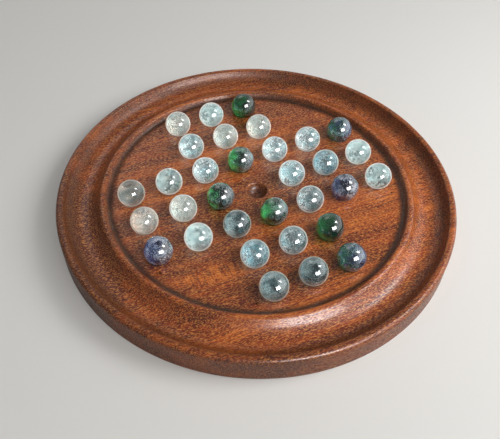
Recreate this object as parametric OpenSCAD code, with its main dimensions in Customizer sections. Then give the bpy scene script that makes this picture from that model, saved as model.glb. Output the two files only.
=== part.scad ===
// Round solitaire board with glass marbles.
// A turned hardwood disc carries a flat playing field with a cross of dimples.
// Round the field run a low bead, a hollow channel for captured marbles and a rim.
// One marble sits in each dimple, and the centre dimple is empty, as at the start of play.
// +X runs along the rows, +Y along the files away from the player, +Z is up.
// The origin is the middle of the underside.

/* [Board] */
// Height of the rim above the table
board_h = 17; // [15:0.5:20]
// Height of the flat playing field above the table
field_h = 12.7; // [11:0.1:14.5]
// Bevel round the edge of the underside
base_bevel = 1; // [0.4:0.1:2]
// Rounding of the rim's outer top edge
rim_edge_r = 2.2; // [1:0.1:3]

/* [Turned section] */
// Flat field left between the outermost marbles and the cove
field_margin = 3.1; // [1:0.1:12]
// Width of the cove, from the flat field to the bead's crest
cove_w = 5.5; // [4:0.1:8]
// Height of the bead's crest above the field
bead_rise = 3.3; // [1.5:0.1:4.2]
// Width of the bead's outer flank, from its crest to the channel's lowest line
flank_w = 12.5; // [9:0.1:18]
// Depth of the channel's lowest line below the field
channel_drop = 2.5; // [1:0.1:5]
// Width of the channel's outer wall, from its lowest line to the rim's flat top
wall_w = 10.6; // [7:0.1:14]
// Width of the rim, from the start of its flat top to the disc's side
rim_w = 3.4; // [3.2:0.1:8]
// Part of the cove's curve that is hollow, the rest is the bead's round
cove_share = 0.7; // [0.3:0.05:0.8]
// Part of the bead's outer curve that is round, the rest is hollow
bead_share = 0.2; // [0.15:0.05:0.6]
// Part of the channel's outer curve that is hollow, the rest is the rim's round
channel_share = 0.9; // [0.4:0.05:0.95]

/* [Playing field] */
// Distance from one dimple to the next
pitch = 23.2; // [20:0.1:23.8]
// Diameter of a dimple inside its bevelled lip
dimple_d = 12.4; // [11:0.1:13]
// Depth of a dimple below the field
dimple_depth = 5; // [4.6:0.1:6]
// Bevel of a dimple's lip
lip_bevel = 0.25; // [0.1:0.05:0.5]

/* [Marbles] */
// Diameter of a marble
marble_d = 16; // [14.5:0.1:17]
// Clearance between a marble and the lip that it rests on
seat_gap = 0.1; // [0.05:0.05:0.3]

/* [Hidden] */
// Count of cells on each side of the middle one, along the cross and across its arms
side_count = 3;
arm_count = 1;
// Steps in each arc of the section
arc_steps = 9;
// Overlap of one cut with the next, and how far a cut runs past a face
cut_over = 1;

marble_r = marble_d / 2;
lip_r = dimple_d / 2;
lip_z = field_h - lip_bevel;
cutter_drop = dimple_depth - lip_bevel;
cutter_r = (lip_r * lip_r + cutter_drop * cutter_drop) / (2 * cutter_drop);
marble_z = lip_z + sqrt(pow(marble_r + seat_gap, 2) - lip_r * lip_r);

// Radii of the section's stations, from the outermost marbles outwards
field_r = pitch * norm([side_count, arm_count]) + marble_r + field_margin;
bead_crest_r = field_r + cove_w;
channel_r = bead_crest_r + flank_w;
rim_top_r = channel_r + wall_w;
board_r = rim_top_r + rim_w;

files = "abcdefg";
// Marbles by the colour of their glass, and all others are clear
green_cells = ["e7", "g5", "d5", "c4", "d3", "e2", "e1"];
blue_cells = ["f3", "a3"];
milky_cells = ["d7", "b5", "b3", "g4", "g3"];

cells = [
  for (row = [side_count : -1 : -side_count], file = [-side_count : side_count])
    if (abs(file) <= arm_count || abs(row) <= arm_count) [file, row]
];
filled_cells = [for (cell = cells) if (cell != [0, 0]) cell];

function cell_name(cell) = str(files[cell.x + side_count], cell.y + side_count + 1);
function marble_name(cell) = str("marble_", cell_name(cell));
function is_in(name, names) = len([for (each_name = names) if (each_name == name) 1]) > 0;
function glass_colour(name) =
  is_in(name, green_cells) ? [0.10, 0.30, 0.20, 0.8] :
  is_in(name, blue_cells) ? [0.22, 0.22, 0.42, 0.8] :
  is_in(name, milky_cells) ? [0.75, 0.85, 0.85, 0.7] :
  [0.72, 0.78, 0.80, 0.5];

// Points of an S-curve that is level at both ends: two arcs that meet tangentially,
// the first with the given share of the run and the rise.
function ogee(start, finish, share) =
  let (run = finish.x - start.x, rise = finish.y - start.y)
  let (way = sign(rise), turn = 2 * atan(abs(rise) / run))
  let (both = run / sin(turn), first_r = both * share, last_r = both - first_r)
  concat(
    [for (i = [0 : arc_steps]) let (a = turn * i / arc_steps)
      start + first_r * [sin(a), way * (1 - cos(a))]],
    [for (i = [arc_steps - 1 : -1 : 0]) let (a = turn * i / arc_steps)
      finish - last_r * [sin(a), way * (1 - cos(a))]]
  );

// Points of the quarter round on the rim's outer edge, from its top to its side
function edge_round(r) = [
  for (i = [1 : arc_steps]) let (a = 90 * i / arc_steps)
    [board_r - r + r * sin(a), board_h - r + r * cos(a)]
];

// Half section of the turned disc, radius across and height up
module board_section() {
  field_end = [field_r, field_h];
  bead_top = [bead_crest_r, field_h + bead_rise];
  channel_foot = [channel_r, field_h - channel_drop];
  rim_start = [rim_top_r, board_h];
  polygon(concat(
    [[0, 0], [0, field_h]],
    ogee(field_end, bead_top, cove_share),
    [for (p = ogee(bead_top, channel_foot, bead_share)) if (p.x > bead_top.x) p],
    [for (p = ogee(channel_foot, rim_start, channel_share)) if (p.x > channel_foot.x) p],
    [[board_r - rim_edge_r, board_h]],
    edge_round(rim_edge_r),
    [[board_r, base_bevel], [board_r - base_bevel, 0]]
  ));
}

// What the ball-nosed cutter takes out of one cell, with its bevelled lip
module dimple_cut() {
  translate([0, 0, lip_z - cutter_drop + cutter_r]) sphere(r = cutter_r, $fn = 48);
  translate([0, 0, lip_z]) cylinder(
    h = lip_bevel + cut_over,
    r1 = lip_r,
    r2 = lip_r + lip_bevel + cut_over,
    $fn = 48
  );
}

module board() {
  color([0.56, 0.27, 0.13]) difference() {
    rotate_extrude($fn = 180) board_section();
    for (cell = cells) translate([cell.x * pitch, cell.y * pitch, 0]) dimple_cut();
  }
}

module marble(cell) {
  color(glass_colour(cell_name(cell)))
    translate([cell.x * pitch, cell.y * pitch, marble_z]) sphere(r = marble_r, $fn = 48);
}

board();
for (cell = filled_cells) {
  marble(cell);
}
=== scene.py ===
import math

import bpy
import numpy as np
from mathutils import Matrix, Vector


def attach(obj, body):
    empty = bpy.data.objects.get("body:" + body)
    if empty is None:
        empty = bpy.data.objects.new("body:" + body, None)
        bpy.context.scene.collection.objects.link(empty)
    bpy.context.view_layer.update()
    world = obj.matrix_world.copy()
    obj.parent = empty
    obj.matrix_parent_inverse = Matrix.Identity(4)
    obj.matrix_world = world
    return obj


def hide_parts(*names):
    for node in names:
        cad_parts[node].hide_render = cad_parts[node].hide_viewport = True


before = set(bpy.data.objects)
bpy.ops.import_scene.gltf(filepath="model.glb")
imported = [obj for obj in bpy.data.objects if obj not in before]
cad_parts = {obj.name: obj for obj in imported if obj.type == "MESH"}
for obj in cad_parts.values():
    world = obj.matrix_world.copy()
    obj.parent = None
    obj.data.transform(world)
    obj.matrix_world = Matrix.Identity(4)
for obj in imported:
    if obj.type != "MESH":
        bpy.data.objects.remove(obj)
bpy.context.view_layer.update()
print("frame loaded:", len(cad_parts), "nodes")

mm = 0.001
weldDigits = 4      # points that agree to so many decimals of a millimetre are one point


def hexColour(text):
    # sRGB hex to linear: a channel c of at most 0.04045 is divided by 12.92,
    # and any other becomes ((c + 0.055) / 1.055) ^ 2.4
    parts = [int(text[i:i + 2], 16) / 255 for i in (1, 3, 5)]
    return [c / 12.92 if c <= 0.04045 else ((c + 0.055) / 1.055) ** 2.4 for c in parts] + [1.0]


def addNode(tree, kind, settings=None, inputs=None, stops=None):
    # settings are the node's own choices, and inputs are values or sockets to link;
    # a ramp has two stops already, so stops gives its lowest and highest first and then those between
    node = tree.nodes.new(kind)
    for name, value in (settings or {}).items():
        setattr(node, name, value)
    for name, value in (inputs or {}).items():
        if isinstance(value, bpy.types.NodeSocket):
            tree.links.new(value, node.inputs[name])
        else:
            node.inputs[name].default_value = value
    for i, (place, colour) in enumerate(stops or []):
        spot = node.color_ramp.elements[i] if i < 2 else node.color_ramp.elements.new(place)
        spot.position = place
        spot.color = hexColour(colour)
    return node


def newMaterial(name):
    # a material and its empty node tree, for addNode to fill
    material = bpy.data.materials.new(name)
    material.use_nodes = True
    material.node_tree.nodes.clear()
    return material, material.node_tree


def meshPiece(name, points, quads, triangles, materials, body):
    # points in millimetres; points that coincide become one, so seams and poles close
    unique, index = np.unique(np.round(points, weldDigits), axis=0, return_inverse=True)
    index = index.reshape(-1)
    faces = np.concatenate([index[quads].reshape(-1), index[triangles].reshape(-1)])
    sizes = np.concatenate([np.full(len(quads), 4), np.full(len(triangles), 3)])
    starts = np.concatenate([[0], np.cumsum(sizes)[:-1]])
    mesh = bpy.data.meshes.new(name)
    mesh.vertices.add(len(unique))
    mesh.vertices.foreach_set("co", (unique * mm).astype(np.float32).reshape(-1))
    mesh.loops.add(len(faces))
    mesh.loops.foreach_set("vertex_index", faces.astype(np.int32))
    mesh.polygons.add(len(sizes))
    mesh.polygons.foreach_set("loop_start", starts.astype(np.int32))
    mesh.polygons.foreach_set("use_smooth", np.ones(len(sizes), bool))
    mesh.update(calc_edges=True)
    mesh.validate()
    for material in materials:
        mesh.materials.append(material)
    piece = bpy.data.objects.new(name, mesh)
    bpy.context.scene.collection.objects.link(piece)
    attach(piece, body)
    return piece


def bandFaces(rows, columns, offset=0):
    # quads between closed rings of points: each row is one ring, the last column joins the first
    row, column = np.meshgrid(np.arange(rows - 1), np.arange(columns), indexing="ij")
    following = (column + 1) % columns
    a = row * columns + column
    b = row * columns + following
    return np.stack([a, a + columns, b + columns, b], -1).reshape(-1, 4) + offset


woodLook = {
    "grainTilt": 2.0,                   # degrees from +X towards -Y
    "wander": (0.012, 10.0),            # bends of the grain in one mm, and how far they reach in mm
    # noise stretched along the grain: length and width in mm, and levels of finer detail
    "ribbon": (170.0, 12.0, 2.0),       # stripes of interlocked grain
    "streak": (26.0, 0.9, 2.0),
    "tick": (1.1, 9.0, 0.0),            # short bars across the grain, in the figured patches only
    "pore": (1.6, 0.36, 1.0),           # vessels, really 0.2 mm wide, drawn wider so that they show
    # the tone is this much ribbon and this much streak, from this start
    "ribbonShare": 0.6,
    "streakShare": 0.78,
    "toneStart": -0.22,
    "tones": [
        (0.34, "#5A1C0C"),
        (0.72, "#E07A2A"),
        (0.46, "#883410"),
        (0.58, "#B45018")],
    # where in its noise each of these begins and is full
    "tickEdge": (0.42, 0.60),
    "poreEdge": (0.47, 0.34),
    "fibreEdge": (0.51, 0.64),
    "poreColour": "#702E10",
    "poreShade": 0.5,                   # how dark the vessels are
    "fibreColour": "#E29248",
    "fibreShade": 0.88,                 # how pale the palest fibre is
    # patches of figure, and one of painted shade, in mm along and across the grain: middle, half length
    # and half width, and then how much lighter they are and how dark their ticks are
    "figureAndShade": [
        (-45.0, -47.5, 26.0, 6.0, 0.18, 0.19),
        (10.0, -53.0, 14.0, 4.0, 0.13, 0.14),
        (50.0, -50.0, 20.0, 11.0, 0.09, 0.10),
        (12.0, 10.0, 26.0, 15.0, -0.05, 0.0),
        (-54.0, -31.0, 36.0, 4.5, -0.09, 0.0),
        (-50.0, 46.0, 32.0, 7.0, -0.05, 0.0),
        (52.0, 46.0, 26.0, 8.0, -0.04, 0.0),
        # painted shade: the last patch darkens the left of the channel and rim, the side away from the
        # lamps
        (-106.0, 2.0, 20.0, 62.0, -0.27, 0.0)],
    "patchEdge": (0.6, 1.1),            # parts of a patch's size where it begins to fade and is gone
    # painted shade: the colour that darkens the hollows, the dimples and the side where shade falls
    "paintedShadeColour": "#20160E",
    # painted shade in the hollows, where shade falls: at the cove's foot, up the channel's outer wall
    # and on the rim's outer edge and side; radius and half width in mm, and strength
    "paintedShadeRings": [
        (86.3, 4.0, 0.85),
        (109.5, 8.0, 0.55),
        (118.5, 3.6, 0.9)],             # its inner half lies on the disc's outer edge and side
    # painted shade in the dimples, darker towards their bottom: the radius that they lie in, its top
    # and bottom height, and strength
    "dimpleShade": (83.0, 12.5, 8.5, 0.6),
    "streakRange": (0.3, 0.7),          # the streaks' noise in the smoothest and in the roughest wood
    "varnishRough": (0.30, 0.42),
    "bareRough": (0.62, 0.72),
    "poreRough": 0.85,
    "poreBump": (0.4, 0.0001),          # strength, and depth in m
    "ior": 1.5,
    "coat": 0.62,
    "coatRough": 0.21,
    "coatEnd": 0.6,                     # strength of the painted shade at which the varnish's gloss is gone
}


def paintShadeInHollows(tree, place, colour, look):
    # painted shade: full at a hollow's radius and fading to nothing at its half width,
    # and in the dimples growing from their top height down to their bottom height
    level = addNode(tree, "ShaderNodeVectorMath", {"operation": "MULTIPLY"}, {0: place, 1: (1, 1, 0)})
    radius = addNode(tree, "ShaderNodeVectorMath", {"operation": "LENGTH"}, {
        0: level.outputs["Vector"]}).outputs["Value"]
    height = addNode(tree, "ShaderNodeSeparateXYZ", {}, {"Vector": place})
    paintedShadeColour = hexColour(look["paintedShadeColour"])
    paintedShadeStrength = 0.0
    for middle, halfWidth, strength in look["paintedShadeRings"]:
        off = addNode(tree, "ShaderNodeMath", {"operation": "SUBTRACT"}, {0: radius, 1: middle})
        distance = addNode(tree, "ShaderNodeMath", {"operation": "ABSOLUTE"}, {0: off.outputs["Value"]})
        layer = addNode(tree, "ShaderNodeMapRange", {"interpolation_type": "SMOOTHSTEP"}, {
            "Value": distance.outputs["Value"], "From Max": halfWidth,
            "To Min": strength, "To Max": 0.0})
        colour = addNode(tree, "ShaderNodeMix", {"data_type": "RGBA", "blend_type": "MIX"}, {
            "Factor": layer.outputs["Result"], 6: colour, 7: paintedShadeColour}).outputs[2]
        paintedShadeStrength = addNode(tree, "ShaderNodeMath", {"operation": "MAXIMUM"}, {
            0: paintedShadeStrength, 1: layer.outputs["Result"]}).outputs["Value"]
    reach, top, bottom, strength = look["dimpleShade"]
    # painted shade in the dimples, growing towards their bottom
    inside = addNode(tree, "ShaderNodeMath", {"operation": "LESS_THAN"}, {0: radius, 1: reach})
    deep = addNode(tree, "ShaderNodeMapRange", {}, {
        "Value": height.outputs["Z"], "From Min": bottom, "From Max": top,
        "To Min": strength, "To Max": 0.0})
    cup = addNode(tree, "ShaderNodeMath", {"operation": "MULTIPLY"}, {
        0: inside.outputs["Value"], 1: deep.outputs["Result"]})
    colour = addNode(tree, "ShaderNodeMix", {"data_type": "RGBA", "blend_type": "MIX"}, {
        "Factor": cup.outputs["Value"], 6: colour, 7: paintedShadeColour}).outputs[2]
    return colour, paintedShadeStrength


def mahoganyMaterial(name, look, varnished):
    # ribbon-striped mahogany, turned on a lathe and sanded: a red-brown body with lighter ribbons
    # and dark open pores along the grain; varnished wood is semi-gloss, with painted shade in its
    # hollows, dimples and side, and the hollows' shade also takes its gloss away
    material, tree = newMaterial(name)
    place = addNode(tree, "ShaderNodeTexCoord")
    turned = addNode(tree, "ShaderNodeMapping", {}, {
        "Vector": place.outputs["Object"],
        "Rotation": (0, 0, math.radians(look["grainTilt"])),
        "Scale": (1 / mm, 1 / mm, 1 / mm)})
    bends, drift = look["wander"]
    wander = addNode(tree, "ShaderNodeTexNoise", {}, {
        "Vector": turned.outputs["Vector"], "Scale": bends, "Detail": 2.0})
    shift = addNode(tree, "ShaderNodeVectorMath", {"operation": "MULTIPLY_ADD"}, {
        0: wander.outputs["Color"], 1: (0.0, drift, drift), 2: turned.outputs["Vector"]})
    grain = {}
    for part in ("ribbon", "streak", "tick", "pore"):
        length, width, detail = look[part]
        squeezed = addNode(tree, "ShaderNodeVectorMath", {"operation": "MULTIPLY"}, {
            0: shift.outputs["Vector"], 1: (1 / length, 1 / width, 1 / width)})
        noise = addNode(tree, "ShaderNodeTexNoise", {}, {
            "Vector": squeezed.outputs["Vector"], "Scale": 1.0, "Detail": detail})
        grain[part] = noise.outputs["Fac"]
    striped = addNode(tree, "ShaderNodeMath", {"operation": "MULTIPLY_ADD"}, {
        0: grain["ribbon"], 1: look["ribbonShare"], 2: look["toneStart"]})
    tone = addNode(tree, "ShaderNodeMath", {"operation": "MULTIPLY_ADD"}, {
        0: grain["streak"], 1: look["streakShare"], 2: striped.outputs["Value"]}).outputs["Value"]
    tickFrom, tickTo = look["tickEdge"]
    bar = addNode(tree, "ShaderNodeMapRange", {"interpolation_type": "SMOOTHSTEP"}, {
        "Value": grain["tick"], "From Min": tickFrom, "From Max": tickTo})
    fadeFrom, fadeTo = look["patchEdge"]
    for x, y, halfLength, halfWidth, lighter, ticks in look["figureAndShade"]:
        # the wander moves the grain by half of its reach on average, so a patch's middle goes with it
        centred = addNode(tree, "ShaderNodeVectorMath", {"operation": "SUBTRACT"}, {
            0: shift.outputs["Vector"], 1: (x, y + drift / 2, 0)})
        scaled = addNode(tree, "ShaderNodeVectorMath", {"operation": "MULTIPLY"}, {
            0: centred.outputs["Vector"], 1: (1 / halfLength, 1 / halfWidth, 0)})
        away = addNode(tree, "ShaderNodeVectorMath", {"operation": "LENGTH"}, {
            0: scaled.outputs["Vector"]})
        patch = addNode(tree, "ShaderNodeMapRange", {"interpolation_type": "SMOOTHSTEP"}, {
            "Value": away.outputs["Value"], "From Min": fadeFrom, "From Max": fadeTo,
            "To Min": 1.0, "To Max": 0.0})
        shade = addNode(tree, "ShaderNodeMath", {"operation": "MULTIPLY_ADD"}, {
            0: bar.outputs["Result"], 1: -ticks, 2: lighter})
        tone = addNode(tree, "ShaderNodeMath", {"operation": "MULTIPLY_ADD"}, {
            0: patch.outputs["Result"], 1: shade.outputs["Value"], 2: tone}).outputs["Value"]
    body = addNode(tree, "ShaderNodeValToRGB", {}, {"Fac": tone}, look["tones"])
    # 1 is solid wood, and the vessels go down to what their shade leaves
    poreFrom, poreTo = look["poreEdge"]
    deepest = 1 - look["poreShade"]
    solid = addNode(tree, "ShaderNodeMapRange", {"interpolation_type": "SMOOTHSTEP"}, {
        "Value": grain["pore"], "From Min": poreTo, "From Max": poreFrom, "To Min": deepest})
    pored = addNode(tree, "ShaderNodeMix", {"data_type": "RGBA", "blend_type": "MIX"}, {
        "Factor": solid.outputs["Result"], 6: hexColour(look["poreColour"]), 7: body.outputs["Color"]})
    fibreFrom, fibreTo = look["fibreEdge"]
    fibre = addNode(tree, "ShaderNodeMapRange", {"interpolation_type": "SMOOTHSTEP"}, {
        "Value": grain["pore"], "From Min": fibreFrom, "From Max": fibreTo,
        "To Max": look["fibreShade"]})
    colour = addNode(tree, "ShaderNodeMix", {"data_type": "RGBA", "blend_type": "MIX"}, {
        "Factor": fibre.outputs["Result"], 6: pored.outputs[2],
        7: hexColour(look["fibreColour"])}).outputs[2]
    coat = 0.0
    if varnished:
        # painted shade, whose strength in the hollows also takes the varnish's coat away
        colour, paintedShadeStrength = paintShadeInHollows(tree, turned.outputs["Vector"], colour, look)
        film = addNode(tree, "ShaderNodeMapRange", {}, {
            "Value": paintedShadeStrength, "From Max": look["coatEnd"], "To Min": look["coat"], "To Max": 0.0})
        coat = addNode(tree, "ShaderNodeMath", {"operation": "MULTIPLY"}, {
            0: film.outputs["Result"], 1: solid.outputs["Result"]}).outputs["Value"]
    smoothest, roughest = look["varnishRough"] if varnished else look["bareRough"]
    streakFrom, streakTo = look["streakRange"]
    rough = addNode(tree, "ShaderNodeMapRange", {}, {
        "Value": grain["streak"], "From Min": streakFrom, "From Max": streakTo,
        "To Min": smoothest, "To Max": roughest})
    matt = addNode(tree, "ShaderNodeMapRange", {}, {
        "Value": solid.outputs["Result"], "From Min": deepest,
        "To Min": look["poreRough"], "To Max": rough.outputs["Result"]})
    strength, depth = look["poreBump"]
    bump = addNode(tree, "ShaderNodeBump", {}, {
        "Strength": strength, "Distance": depth, "Height": solid.outputs["Result"]})
    shader = addNode(tree, "ShaderNodeBsdfPrincipled", {}, {
        "Base Color": colour,
        "Roughness": matt.outputs["Result"],
        "IOR": look["ior"],
        "Coat Weight": coat,
        "Coat Roughness": look["coatRough"],
        "Normal": bump.outputs["Normal"]})
    addNode(tree, "ShaderNodeOutputMaterial", {}, {"Surface": shader.outputs["BSDF"]})
    return material


board = {
    "height": 17.0,                     # all sizes in mm
    "fieldHeight": 12.7,
    "fieldRadius": 84.465,              # where the flat field ends and the cove begins
    "coveWidth": 5.5,
    "coveShare": 0.7,                   # part of the S-curve that its first arc takes
    "beadRise": 3.3,
    "beadShare": 0.2,
    "flankWidth": 12.5,
    "channelDrop": 2.5,
    "wallWidth": 10.6,
    "wallShare": 0.9,
    "rimWidth": 3.4,
    "rimRound": 2.2,
    "baseBevel": 1.0,
    "bevelRound": 0.06,
    "pitch": 23.2,
    "sideCount": 3,                     # cells on each side of the middle one
    "armCount": 1,                      # and on each side of an arm's middle line
    "dimpleWidth": 12.4,
    "dimpleDepth": 5.0,
    "lipBevel": 0.25,
    "lipRound": 0.95,
    # steps and rings of the mesh
    "directions": 64,                   # points round one dimple
    "bowlSteps": 12,
    "lipSteps": 6,
    "flatShares": (0.25, 0.6, 1.0),     # rings from a lip out to its cell's square
    "cornerReach": 82.0,                # the cells' squares are pulled in to this radius
    "fieldSteps": 9,
    "coveSteps": 9,
    "flankSteps": 12,
    "wallSteps": 12,
    "rimSteps": 8,
    "sideRings": (11.0, 6.0, 1.5, 1.15),   # heights on the upright side
    "footRings": (1.15, 1.6),           # how far in from the side the underside's first rings lie
    "underShares": (0.97, 0.9, 0.7, 0.45, 0.2),
    "bareBelow": -0.9,                  # faces whose normal has a lower z than this are bare wood
}
lines = range(-board["sideCount"], board["sideCount"] + 1)
cells = [(column, row) for row in reversed(lines) for column in lines
         if min(abs(column), abs(row)) <= board["armCount"]]


def sCurve(start, finish, share, steps):
    # two arcs that meet tangentially, level at both ends: they turn by 2 atan(rise / run), and a point
    # at angle a lies radius * sin(a) along and radius * (1 - cos(a)) up or down from the level end
    run = finish[0] - start[0]
    rise = finish[1] - start[1]
    turn = 2 * math.atan(abs(rise) / run)
    both = run / math.sin(turn)
    angle = np.linspace(0, turn, steps + 1)
    arc = np.stack([np.sin(angle), math.copysign(1, rise) * (1 - np.cos(angle))], 1)
    first = np.array(start) + both * share * arc
    last = np.array(finish) - both * (1 - share) * arc
    return np.concatenate([first, last[-2::-1]])


def turnedSection(sizes):
    # radius and height from the field's edge over the bead, the channel and the rim to the underside:
    # three S-curves, a quarter round whose point at angle a lies r * sin(a) out and r * cos(a) up
    # from its centre, the upright side and the bevelled foot
    edge = (sizes["fieldRadius"], sizes["fieldHeight"])
    crest = (edge[0] + sizes["coveWidth"], edge[1] + sizes["beadRise"])
    hollow = (crest[0] + sizes["flankWidth"], edge[1] - sizes["channelDrop"])
    rim = (hollow[0] + sizes["wallWidth"], sizes["height"])
    outside = rim[0] + sizes["rimWidth"]
    cove = sCurve(edge, crest, sizes["coveShare"], sizes["coveSteps"])
    flank = sCurve(crest, hollow, sizes["beadShare"], sizes["flankSteps"])
    wall = sCurve(hollow, rim, sizes["wallShare"], sizes["wallSteps"])
    angle = np.radians(np.linspace(0, 90, sizes["rimSteps"] + 1))
    corner = sizes["rimRound"]
    quarter = np.stack([outside - corner + corner * np.sin(angle),
                        sizes["height"] - corner + corner * np.cos(angle)], 1)
    bevel = sizes["baseBevel"]
    soft = sizes["bevelRound"]
    side = [(outside, height) for height in sizes["sideRings"]]
    foot = [(outside - soft, bevel - soft), (outside - bevel + soft, soft)]
    under = [(outside - inward, 0.0) for inward in sizes["footRings"]]
    return np.concatenate([cove, flank[1:], wall[1:], quarter, side, foot, under])


def pulledIn(points, reach):
    # a point farther from the middle than the reach is scaled by reach / distance
    away = np.linalg.norm(points, axis=1, keepdims=True)
    return points * np.minimum(1, reach / away)


def cellPatches(sizes):
    # each cell's dimple with its share of the field: the bowl at angle a lies ball * sin(a) out
    # and ball * (1 - cos(a)) above its lowest point, a small round turns it level at the lip,
    # and flat wood runs in straight lines out to the cell's square
    count = sizes["directions"]
    around = np.radians(np.arange(count) * 360 / count)
    ring = np.stack([np.cos(around), np.sin(around)], 1)
    lip = sizes["dimpleWidth"] / 2
    drop = sizes["dimpleDepth"] - sizes["lipBevel"]
    ball = (lip * lip + drop * drop) / (2 * drop)
    ballHeight = ball - sizes["dimpleDepth"]
    small = sizes["lipRound"]
    smallReach = math.sqrt((ball + small) ** 2 - (ballHeight + small) ** 2)
    tilt = math.asin(smallReach / (ball + small))
    bowl = np.linspace(0, tilt, sizes["bowlSteps"] + 1)[1:]
    lean = np.linspace(tilt, 0, sizes["lipSteps"] + 1)[1:]
    radii = np.concatenate([ball * np.sin(bowl), smallReach - small * np.sin(lean)])
    heights = np.concatenate([ballHeight - ball * np.cos(bowl), small * np.cos(lean) - small])
    inner = ring[None] * radii[:, None, None]
    square = ring * (sizes["pitch"] / 2) / np.abs(ring).max(1, keepdims=True)
    share = np.array(sizes["flatShares"])[:, None, None]
    height = np.concatenate([heights, np.zeros(len(share))]) + sizes["fieldHeight"]
    bottom = sizes["fieldHeight"] - sizes["dimpleDepth"]
    points = []
    for column, row in cells:
        centre = np.array([column, row]) * sizes["pitch"]
        edge = pulledIn(centre + square, sizes["cornerReach"])
        flat = (centre + inner[-1]) * (1 - share) + edge * share
        level = np.concatenate([centre + inner, flat])
        up = np.broadcast_to(height[:, None, None], level.shape[:2] + (1,))
        patch = np.concatenate([level, up], 2).reshape(-1, 3)
        points.append(np.concatenate([[[*centre, bottom]], patch]))
    cellCount = len(points[0])
    step = np.arange(count)
    fan = np.stack([np.zeros_like(step), 1 + step, 1 + (step + 1) % count], 1)
    band = bandFaces((cellCount - 1) // count, count, 1)
    quads = np.concatenate([band + i * cellCount for i in range(len(cells))])
    triangles = np.concatenate([fan + i * cellCount for i in range(len(cells))])
    return np.concatenate(points), quads, triangles


def crossOutline(sizes):
    # the sides of the cells that have no neighbour there, with the patches' own points:
    # half a cell out and half a cell * tan(angle) along, in order round the middle
    half = sizes["pitch"] / 2
    along = half * np.tan(np.radians(np.linspace(-45, 45, sizes["directions"] // 4 + 1)))
    side = np.stack([np.full_like(along, half), along], 1)
    outline = []
    for column, row in cells:
        for sideways, forward in ((1, 0), (0, 1), (-1, 0), (0, -1)):
            if (column + sideways, row + forward) not in cells:
                turn = np.array([[sideways, -forward], [forward, sideways]])
                outline.append(side @ turn.T + np.array([column, row]) * sizes["pitch"])
    outline = pulledIn(np.concatenate(outline), sizes["cornerReach"])
    outline = np.unique(np.round(outline, weldDigits), axis=0)
    return outline[np.argsort(np.arctan2(outline[:, 1], outline[:, 0]))]


def boardPiece(sizes, materials):
    # the cells' patches, then flat wood in straight lines from the cross's outline out to a circle,
    # and then the section turned round the middle, where a point at angle a lies
    # radius * (cos(a), sin(a)) out
    points, quads, triangles = cellPatches(sizes)
    outline = crossOutline(sizes)
    count = len(outline)
    around = math.atan2(outline[0, 1], outline[0, 0]) + np.arange(count) * 2 * math.pi / count
    ring = np.stack([np.cos(around), np.sin(around)], 1)
    share = (np.arange(sizes["fieldSteps"]) / sizes["fieldSteps"])[:, None, None]
    flat = outline * (1 - share) + ring * sizes["fieldRadius"] * share
    flat = np.concatenate([flat, np.full(flat.shape[:2] + (1,), sizes["fieldHeight"])], 2)
    section = turnedSection(sizes)
    under = [(section[-1, 0] * part, 0.0) for part in sizes["underShares"]]
    section = np.concatenate([section, under])
    level = ring[None] * section[:, 0, None, None]
    up = np.broadcast_to(section[:, 1, None, None], level.shape[:2] + (1,))
    grid = np.concatenate([flat, np.concatenate([level, up], 2)])
    bands = bandFaces(len(grid), count, len(points))
    middle = len(points) + len(grid) * count
    last = middle - count + np.arange(count)
    fan = np.stack([np.roll(last, -1), last, np.full(count, middle)], 1)
    points = np.concatenate([points, grid.reshape(-1, 3), [[0.0, 0.0, 0.0]]])
    quads = np.concatenate([quads, bands])
    triangles = np.concatenate([triangles, fan])
    piece = meshPiece("turned_board", points, quads, triangles, materials, "board")
    # the second material is for the faces that look down
    normals = np.empty(len(piece.data.polygons) * 3, np.float32)
    piece.data.polygons.foreach_get("normal", normals)
    bareFaces = normals[2::3] < sizes["bareBelow"]
    piece.data.polygons.foreach_set("material_index", bareFaces.astype(np.int32))
    return piece


varnished = mahoganyMaterial("varnished mahogany", woodLook, True)
bare = mahoganyMaterial("bare mahogany", woodLook, False)
turnedBoard = boardPiece(board, [varnished, bare])
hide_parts("board")
print("board:", len(turnedBoard.data.polygons), "faces")


marble = {
    "radius": 8.0,                      # mm
    "height": 17.6625,                  # its middle above the table
    "around": 80,                       # points in a ring, and steps from top to bottom
    "down": 40,
}


def marblePiece(name, centre, sizes, material):
    # a ball: the ring of points at angle p from the top lies radius * sin(p) out and radius * cos(p) up
    count = sizes["around"]
    polar = np.linspace(0, math.pi, sizes["down"] + 1)[1:-1, None, None]
    around = np.arange(count) * 2 * math.pi / count
    level = np.stack([np.cos(around), np.sin(around)], 1)[None] * np.sin(polar)
    up = np.broadcast_to(np.cos(polar), level.shape[:2] + (1,))
    rings = np.concatenate([level, up], 2).reshape(-1, 3)
    points = np.concatenate([rings, [[0, 0, 1], [0, 0, -1]]]) * sizes["radius"] + centre
    quads = bandFaces(len(polar), count)
    top = len(points) - 2
    step = np.arange(count)
    following = np.roll(step, -1)
    last = (len(polar) - 1) * count
    cap = np.stack([step, following, np.full_like(step, top)], 1)
    foot = np.stack([last + following, last + step, np.full_like(step, top + 1)], 1)
    triangles = np.concatenate([cap, foot])
    return meshPiece("glass_" + name, points, quads, triangles, [material], "marble_" + name)


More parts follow.
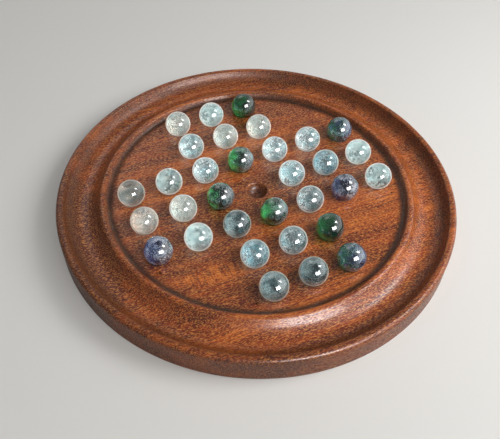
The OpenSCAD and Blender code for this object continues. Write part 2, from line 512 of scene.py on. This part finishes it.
glass = {
    "ior": 1.5,
    "lampSide": (0.85, -0.5, 0.1),      # the side lamp's direction, which the glass's painted light and shade follow
    "cloudStops": (0.36, 0.50, 0.64),   # the clouds' noise where the glass is dark, tinted and light
    "crowding": 0.6,                    # how much the flakes gather in the clouds
    "flakeEdge": 0.09,                  # from the first trace of a flake to a full one
    # the pale rim begins and is full here, from 0 where the glass faces the eye to 1 at its outline
    "rimEdge": (0.45, 0.75),
    "rimGlow": 0.12,                    # what a full rim adds to the painted glow
    # painted light: cosines with the lamp's side where the glow, strongest away from the lamp, begins
    # to grow and is full
    "glowEdge": (0.4, -0.7),
    "glowLeast": 0.25,                  # its part that is left on the lamp's side
    "flakeDepth": 0.0002,               # m
    "scatter": 0.004,                   # m
    "coatRough": 0.1,
}


def glassMaterial(name, look, shared):
    # soda-lime glass, rolled into a ball while hot, tinted, and crackled or milky inside, then
    # lustred with a thin skin of metal oxide that breaks up into fine flakes and is pale at the rim
    material, tree = newMaterial(name)
    place = addNode(tree, "ShaderNodeTexCoord")
    scaled = addNode(tree, "ShaderNodeMapping", {}, {
        "Vector": place.outputs["Object"], "Scale": (1 / mm, 1 / mm, 1 / mm)})
    speckle = addNode(tree, "ShaderNodeTexNoise", {}, {
        "Vector": scaled.outputs["Vector"], "Scale": 1 / look["speckle"], "Detail": 2.0})
    cloud = addNode(tree, "ShaderNodeTexNoise", {}, {
        "Vector": scaled.outputs["Vector"], "Scale": 1 / look["cloud"], "Detail": 1.0})
    # painted light and shade: the glass is painted darker on the side lamp's side and lighter away from
    # it, and the flakes crowd on the lamp's side, the dark ones as painted shade and the pale ones as a
    # painted reflection
    towards = addNode(tree, "ShaderNodeVectorMath", {"operation": "DOT_PRODUCT"}, {
        0: place.outputs["Normal"], 1: Vector(shared["lampSide"]).normalized()})
    shaded = addNode(tree, "ShaderNodeMath", {"operation": "MULTIPLY_ADD"}, {
        0: towards.outputs["Value"], 1: -look["sweep"], 2: cloud.outputs["Fac"]})
    darkStop, tintStop, lightStop = shared["cloudStops"]
    body = addNode(tree, "ShaderNodeValToRGB", {}, {"Fac": shaded.outputs["Value"]}, [
        (darkStop, look["dark"]), (lightStop, look["light"]), (tintStop, look["tint"])])
    gathered = addNode(tree, "ShaderNodeMath", {"operation": "MULTIPLY_ADD"}, {
        0: towards.outputs["Value"], 1: look["sweep"], 2: speckle.outputs["Fac"]})
    crowd = addNode(tree, "ShaderNodeMath", {"operation": "MULTIPLY_ADD"}, {
        0: cloud.outputs["Fac"], 1: shared["crowding"], 2: gathered.outputs["Value"]})
    flake = addNode(tree, "ShaderNodeMapRange", {"interpolation_type": "SMOOTHSTEP"}, {
        "Value": crowd.outputs["Value"], "From Min": look["flakeFrom"],
        "From Max": look["flakeFrom"] + shared["flakeEdge"], "To Max": look["flake"]})
    # the pale rim is paler, less clear glass at the outline, and it adds to the painted glow
    facing = addNode(tree, "ShaderNodeLayerWeight", {}, {"Blend": 0.5})
    rimFrom, rimTo = shared["rimEdge"]
    ring = addNode(tree, "ShaderNodeMapRange", {"interpolation_type": "SMOOTHSTEP"}, {
        "Value": facing.outputs["Facing"], "From Min": rimFrom, "From Max": rimTo,
        "To Max": look["ring"]})
    # painted light: the glass glows, though it is no lamp, most of all away from the lamp's side and at
    # the rim, in place of light focused through the ball
    glowFrom, glowTo = shared["glowEdge"]
    inner = addNode(tree, "ShaderNodeMapRange", {"interpolation_type": "SMOOTHSTEP"}, {
        "Value": towards.outputs["Value"], "From Min": glowFrom, "From Max": glowTo,
        "To Min": look["paintedGlow"] * shared["glowLeast"], "To Max": look["paintedGlow"]})
    paintedGlow = addNode(tree, "ShaderNodeMath", {"operation": "MULTIPLY_ADD"}, {
        0: ring.outputs["Result"], 1: shared["rimGlow"], 2: inner.outputs["Result"]})
    # flakes and rim hide what lies behind them
    skin = addNode(tree, "ShaderNodeMath", {"operation": "MAXIMUM"}, {
        0: flake.outputs["Result"], 1: ring.outputs["Result"]})
    clear = addNode(tree, "ShaderNodeMapRange", {}, {
        "Value": skin.outputs["Value"], "To Min": look["clear"], "To Max": 0.0})
    flaked = addNode(tree, "ShaderNodeMix", {"data_type": "RGBA", "blend_type": "MIX"}, {
        "Factor": flake.outputs["Result"], 6: body.outputs["Color"],
        7: hexColour(look["flakeColour"])})
    colour = addNode(tree, "ShaderNodeMix", {"data_type": "RGBA", "blend_type": "MIX"}, {
        "Factor": ring.outputs["Result"], 6: flaked.outputs[2], 7: hexColour(look["ringColour"])})
    # the skin mirrors more from inside the glass than from outside
    side = addNode(tree, "ShaderNodeNewGeometry")
    mirror = addNode(tree, "ShaderNodeMapRange", {}, {
        "Value": side.outputs["Backfacing"], "To Min": look["outerLustre"], "To Max": look["lustre"]})
    bump = addNode(tree, "ShaderNodeBump", {}, {
        "Strength": look["ripple"], "Distance": shared["flakeDepth"], "Height": speckle.outputs["Fac"]})
    shader = addNode(tree, "ShaderNodeBsdfPrincipled", {}, {
        "Base Color": colour.outputs[2],
        "Metallic": mirror.outputs["Result"],
        "Roughness": look["rough"],
        "IOR": shared["ior"],
        "Transmission Weight": clear.outputs["Result"],
        "Emission Color": colour.outputs[2],
        "Emission Strength": paintedGlow.outputs["Value"],
        "Subsurface Weight": 1.0,
        "Subsurface Radius": (1.0, 1.0, 1.0),
        "Subsurface Scale": shared["scatter"],
        "Coat Weight": 1.0,
        "Coat IOR": look["coat"],
        "Coat Roughness": shared["coatRough"],
        "Normal": bump.outputs["Normal"]})
    addNode(tree, "ShaderNodeOutputMaterial", {}, {"Surface": shader.outputs["BSDF"]})
    return material


# for each look, line by line: the cells that have it, and the record's slot
# dark, tinted and light glass, in clouds of so many mm
# the flakes' colour, strength, first noise value, how much they and the painted light and shade follow
# the lamp's side, and size in mm
# the painted glow, how clear the glass is, and the pale rim's strength and colour
# how much the skin mirrors outside and inside, roughness, ripple, and the skin's IOR
glassLooks = {
    "pearl": {
        "cells": ["b4", "c7", "d6", "e6"], "slot": "clear_glass",
        "dark": "#C8D4D2", "tint": "#D8E2DE", "light": "#F2F0E8", "cloud": 9.0,
        "flakeColour": "#7C8684", "flake": 0.5, "flakeFrom": 0.84, "sweep": 0.1, "speckle": 1.0,
        "paintedGlow": 0.32, "clear": 0.92, "ring": 1.0, "ringColour": "#FFFAF0",
        "outerLustre": 0.05, "lustre": 0.4, "rough": 0.08, "ripple": 0.0, "coat": 1.6},
    "blush": {
        "cells": ["a4"], "slot": "clear_glass",
        "dark": "#D0DCDC", "tint": "#D8D8D2", "light": "#ECE0D4", "cloud": 9.0,
        "flakeColour": "#E0DCD4", "flake": 0.1, "flakeFrom": 0.84, "sweep": 0.08, "speckle": 1.0,
        "paintedGlow": 0.14, "clear": 0.88, "ring": 0.9, "ringColour": "#F4EADA",
        "outerLustre": 0.05, "lustre": 0.4, "rough": 0.08, "ripple": 0.0, "coat": 1.6},
    "dusk": {
        "cells": ["a5"], "slot": "clear_glass",
        "dark": "#647274", "tint": "#9CA8A8", "light": "#D2C4B6", "cloud": 9.0,
        "flakeColour": "#E0DCD4", "flake": 0.1, "flakeFrom": 0.84, "sweep": 0.12, "speckle": 1.0,
        "paintedGlow": 0.34, "clear": 0.97, "ring": 0.8, "ringColour": "#F4EADA",
        "outerLustre": 0.05, "lustre": 0.4, "rough": 0.06, "ripple": 0.0, "coat": 1.6},
    "milky": {
        "cells": ["b3", "d7", "g4"], "slot": "milky_glass",
        "dark": "#C4DCDC", "tint": "#DCEEEC", "light": "#EEF8F4", "cloud": 7.0,
        "flakeColour": "#56747A", "flake": 0.8, "flakeFrom": 0.81, "sweep": 0.03, "speckle": 1.05,
        "paintedGlow": 0.5, "clear": 0.72, "ring": 1.0, "ringColour": "#FCFCF4",
        "outerLustre": 0.05, "lustre": 0.4, "rough": 0.08, "ripple": 0.03, "coat": 1.7},
    "cloudy": {
        "cells": ["b5", "g3"], "slot": "milky_glass",
        "dark": "#C4DCDC", "tint": "#DCEEEC", "light": "#EEF8F4", "cloud": 7.0,
        "flakeColour": "#40595E", "flake": 0.85, "flakeFrom": 0.81, "sweep": 0.03, "speckle": 1.05,
        "paintedGlow": 0.36, "clear": 0.82, "ring": 1.0, "ringColour": "#FCFCF4",
        "outerLustre": 0.05, "lustre": 0.4, "rough": 0.06, "ripple": 0.03, "coat": 1.7},
    "bright": {
        "cells": ["c5", "c6", "e4", "e5", "f5"], "slot": "clear_glass",
        "dark": "#BCD8DC", "tint": "#E0F2F4", "light": "#F4FCFC", "cloud": 5.0,
        "flakeColour": "#4C6064", "flake": 0.8, "flakeFrom": 0.84, "sweep": 0.08, "speckle": 0.9,
        "paintedGlow": 0.36, "clear": 0.9, "ring": 0.9, "ringColour": "#FFFCF2",
        "outerLustre": 0.08, "lustre": 0.4, "rough": 0.05, "ripple": 0.03, "coat": 1.8},
    "crackled": {
        "cells": ["d2", "e3"], "slot": "clear_glass",
        "dark": "#A0BCC0", "tint": "#C4D8DA", "light": "#F4FCFC", "cloud": 5.0,
        "flakeColour": "#44585C", "flake": 0.85, "flakeFrom": 0.82, "sweep": 0.08, "speckle": 0.9,
        "paintedGlow": 0.2, "clear": 0.9, "ring": 0.9, "ringColour": "#FFFCF2",
        "outerLustre": 0.08, "lustre": 0.4, "rough": 0.04, "ripple": 0.03, "coat": 1.8},
    "teal": {
        "cells": ["c2", "f4"], "slot": "clear_glass",
        "dark": "#88B8C2", "tint": "#C0E0E6", "light": "#E4F2F4", "cloud": 5.0,
        "flakeColour": "#3C5458", "flake": 0.8, "flakeFrom": 0.84, "sweep": 0.06, "speckle": 0.9,
        "paintedGlow": 0.26, "clear": 0.92, "ring": 0.9, "ringColour": "#ECF0E6",
        "outerLustre": 0.08, "lustre": 0.4, "rough": 0.05, "ripple": 0.05, "coat": 1.8},
    "smoky": {
        "cells": ["c1", "c3", "d1"], "slot": "clear_glass",
        "dark": "#5A767A", "tint": "#98AEB2", "light": "#C0D2D2", "cloud": 6.0,
        "flakeColour": "#C8D8D6", "flake": 0.35, "flakeFrom": 0.82, "sweep": 0.1, "speckle": 0.7,
        "paintedGlow": 0.07, "clear": 0.97, "ring": 0.8, "ringColour": "#ECE6D6",
        "outerLustre": 0.08, "lustre": 0.4, "rough": 0.06, "ripple": 0.05, "coat": 1.8},
    "green": {
        "cells": ["c4", "d3", "d5"], "slot": "green_glass",
        "dark": "#03200F", "tint": "#0C5034", "light": "#3EB85C", "cloud": 7.0,
        "flakeColour": "#C4D4E0", "flake": 0.55, "flakeFrom": 0.82, "sweep": 0.18, "speckle": 0.6,
        "paintedGlow": 0.16, "clear": 0.98, "ring": 0.0, "ringColour": "#3C6A4A",
        "outerLustre": 0.0, "lustre": 0.3, "rough": 0.02, "ripple": 0.08, "coat": 2.1},
    "bottle green": {
        "cells": ["e2", "e7"], "slot": "green_glass",
        "dark": "#03200F", "tint": "#0C5238", "light": "#24904E", "cloud": 7.0,
        "flakeColour": "#9CACB8", "flake": 0.25, "flakeFrom": 0.92, "sweep": 0.18, "speckle": 0.6,
        "paintedGlow": 0.12, "clear": 0.98, "ring": 0.0, "ringColour": "#3C6A4A",
        "outerLustre": 0.0, "lustre": 0.3, "rough": 0.02, "ripple": 0.08, "coat": 1.8},
    "violet green": {
        "cells": ["e1", "g5"], "slot": "green_glass",
        "dark": "#5A6CB4", "tint": "#2A8A6C", "light": "#1E7A40", "cloud": 4.0,
        "flakeColour": "#B8C4DC", "flake": 0.7, "flakeFrom": 0.82, "sweep": 0.1, "speckle": 0.6,
        "paintedGlow": 0.02, "clear": 0.98, "ring": 0.0, "ringColour": "#3C6A4A",
        "outerLustre": 0.0, "lustre": 0.35, "rough": 0.03, "ripple": 0.08, "coat": 2.2},
    "blue": {
        "cells": ["a3", "f3"], "slot": "blue_glass",
        "dark": "#161E48", "tint": "#42588C", "light": "#9AA6C4", "cloud": 5.0,
        "flakeColour": "#CCD4DC", "flake": 0.8, "flakeFrom": 0.8, "sweep": 0.06, "speckle": 0.6,
        "paintedGlow": 0.02, "clear": 0.97, "ring": 0.1, "ringColour": "#6A709C",
        "outerLustre": 0.0, "lustre": 0.3, "rough": 0.03, "ripple": 0.08, "coat": 2.2},
}
files = "abcdefg"
for kind, look in glassLooks.items():
    material = glassMaterial(kind + " lustre glass", look, glass)
    for cell in look["cells"]:
        column = files.index(cell[0]) - board["sideCount"]
        row = int(cell[1]) - 1 - board["sideCount"]
        centre = np.array([column * board["pitch"], row * board["pitch"], marble["height"]])
        ball = marblePiece(cell, centre, marble, material)
        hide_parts("marble_" + cell)
print("marbles made")


studio = {
    "floorColour": "#DEDCD8",
    "floorRough": 0.9,
    "floorWidth": 40.0,                 # m
    "skyColour": "#FFFFFF",
    "skyStrength": 0.2,                 # what lights matt surfaces
    "backdrop": 0.42,                   # what the camera sees past the floor, where 1 is white
    "floorLift": (0.2, 0.385),          # added to the floor for the camera, near the board and far away
    "liftEdge": (0.45, 2.5),            # m from the middle, where the lift starts to grow and is full
    # a level all round, and walls: direction, cosines where one begins and is full, and strength
    "rooms": {
        "gloss": {                      # what varnish and glass mirror
            "level": 0.15,
            "walls": [
                ((0.91, -0.42, 0.02), 0.3, 1.0, 1.2),
                ((-0.05, 0.75, 0.66), 0.94, 1.0, 0.75),
                ((0.35, 0.85, 0.40), 0.80, 1.0, 0.35)]},
        "glass": {                      # what shows through glass
            "level": 0.8,
            "walls": [
                ((0.91, -0.42, 0.02), -0.1, 0.4, 3.0),
                ((0.1, 0.99, 0.05), 0.5, 0.95, 2.0)]},
    },
}
# azimuth and elevation in degrees, distance and size in m, power in W, and the rays that see the lamp
lamps = {
    "window": {
        "azimuth": 7.5, "elevation": 34.0, "away": 1.2,
        "size": (0.7, 0.5), "power": 14.0, "seen": "glossy"},
    "strip": {
        "azimuth": 73.0, "elevation": 50.0, "away": 1.2,
        "size": (0.30, 0.42), "power": 3.0, "seen": "glossy"},
    "front": {
        "azimuth": 15.0, "elevation": 40.0, "away": 1.6,
        "size": (0.8, 0.6), "power": 5.0, "seen": "diffuse"},
    "side": {
        "azimuth": 58.0, "elevation": 42.0, "away": 0.65,
        "size": (0.35, 0.35), "power": 2.7, "seen": "diffuse"},
}
camera = {
    "place": (-0.11936, -0.23471, 0.28767),   # m
    "turn": (41.111, -1.073, -24.965),  # degrees
    "lens": 45.97,                      # mm, on a sensor of this width
    "sensor": 36.0,
    "nearest": 0.01,                    # m
}

# uncoated paper, rolled but not polished, scatters light evenly and has no gloss
floorMaterial, floorTree = newMaterial("pale matt paper")
floorPlace = addNode(floorTree, "ShaderNodeTexCoord")
floorAway = addNode(floorTree, "ShaderNodeVectorMath", {"operation": "LENGTH"}, {
    0: floorPlace.outputs["Object"]})
# far away the floor meets the backdrop in one tone
nearEdge, farEdge = studio["liftEdge"]
nearLift, farLift = studio["floorLift"]
pale = addNode(floorTree, "ShaderNodeMapRange", {"interpolation_type": "SMOOTHSTEP"}, {
    "Value": floorAway.outputs["Value"], "From Min": nearEdge, "From Max": farEdge,
    "To Min": nearLift, "To Max": farLift})
floorPath = addNode(floorTree, "ShaderNodeLightPath")
floorLift = addNode(floorTree, "ShaderNodeMath", {"operation": "MULTIPLY"}, {
    0: floorPath.outputs["Is Camera Ray"], 1: pale.outputs["Result"]})
floorShader = addNode(floorTree, "ShaderNodeBsdfPrincipled", {}, {
    "Base Color": hexColour(studio["floorColour"]),
    "Roughness": studio["floorRough"],
    "Specular IOR Level": 0.0,
    "Emission Color": hexColour(studio["floorColour"]),
    "Emission Strength": floorLift.outputs["Value"]})
addNode(floorTree, "ShaderNodeOutputMaterial", {}, {"Surface": floorShader.outputs["BSDF"]})
half = studio["floorWidth"] / 2
floorCorners = [(-half, -half, 0), (half, -half, 0), (half, half, 0), (-half, half, 0)]
floorMesh = bpy.data.meshes.new("floor")
floorMesh.from_pydata(floorCorners, [], [(0, 1, 2, 3)])
floorMesh.materials.append(floorMaterial)
floor = bpy.data.objects.new("floor", floorMesh)
bpy.context.scene.collection.objects.link(floor)


def addLamp(name, lamp):
    # a rectangular lamp that faces the middle: at azimuth a and elevation e it lies in the direction
    # (sin(a) * cos(e), -cos(a) * cos(e), sin(e))
    a = math.radians(lamp["azimuth"])
    e = math.radians(lamp["elevation"])
    direction = Vector((math.sin(a) * math.cos(e), -math.cos(a) * math.cos(e), math.sin(e)))
    place = direction * lamp["away"]
    data = bpy.data.lights.new(name, "AREA")
    data.shape = "RECTANGLE"
    data.size = lamp["size"][0]
    data.size_y = lamp["size"][1]
    data.energy = lamp["power"]
    holder = bpy.data.objects.new(name, data)
    holder.location = place
    holder.rotation_euler = (-place).to_track_quat("-Z", "Y").to_euler()
    holder.visible_transmission = False
    holder.visible_glossy = lamp["seen"] == "glossy"
    holder.visible_diffuse = lamp["seen"] == "diffuse"
    bpy.context.scene.collection.objects.link(holder)


for name, lamp in lamps.items():
    addLamp(name, lamp)

world = bpy.data.worlds.new("studio")
world.use_nodes = True
skyTree = world.node_tree
skyTree.nodes.clear()
path = addNode(skyTree, "ShaderNodeLightPath")
direction = addNode(skyTree, "ShaderNodeTexCoord")

# a room's strength is its level, and each wall adds to it as the cosine between the ray
# and the wall's direction goes from start to end
level = {}
for kind, room in studio["rooms"].items():
    level[kind] = room["level"]
    for towards, start, end, added in room["walls"]:
        facing = addNode(skyTree, "ShaderNodeVectorMath", {"operation": "DOT_PRODUCT"}, {
            0: direction.outputs["Generated"], 1: Vector(towards).normalized()})
        lobe = addNode(skyTree, "ShaderNodeMapRange", {"interpolation_type": "SMOOTHSTEP"}, {
            "Value": facing.outputs["Value"], "From Min": start, "From Max": end, "To Max": added})
        level[kind] = addNode(skyTree, "ShaderNodeMath", {"operation": "ADD"}, {
            0: level[kind], 1: lobe.outputs["Result"]}).outputs["Value"]
# a later kind of ray overrules an earlier one, and light that has met a matt surface is plain again
strength = studio["skyStrength"]
for ray, seen in (("Is Glossy Ray", level["gloss"]),
                  ("Is Transmission Ray", level["glass"]),
                  ("Diffuse Depth", studio["skyStrength"]),
                  ("Is Camera Ray", studio["backdrop"])):
    strength = addNode(skyTree, "ShaderNodeMapRange", {}, {
        "Value": path.outputs[ray], "To Min": strength, "To Max": seen}).outputs["Result"]
sky = addNode(skyTree, "ShaderNodeBackground", {}, {
    "Color": hexColour(studio["skyColour"]), "Strength": strength})
addNode(skyTree, "ShaderNodeOutputWorld", {}, {"Surface": sky.outputs["Background"]})

scene = bpy.context.scene
scene.world = world
scene.view_settings.view_transform = "Standard"
lens = bpy.data.cameras.new("camera")
lens.sensor_width = camera["sensor"]
lens.lens = camera["lens"]
lens.clip_start = camera["nearest"]
eye = bpy.data.objects.new("camera", lens)
eye.location = camera["place"]
eye.rotation_euler = [math.radians(angle) for angle in camera["turn"]]
scene.collection.objects.link(eye)
scene.camera = eye
print("studio set")
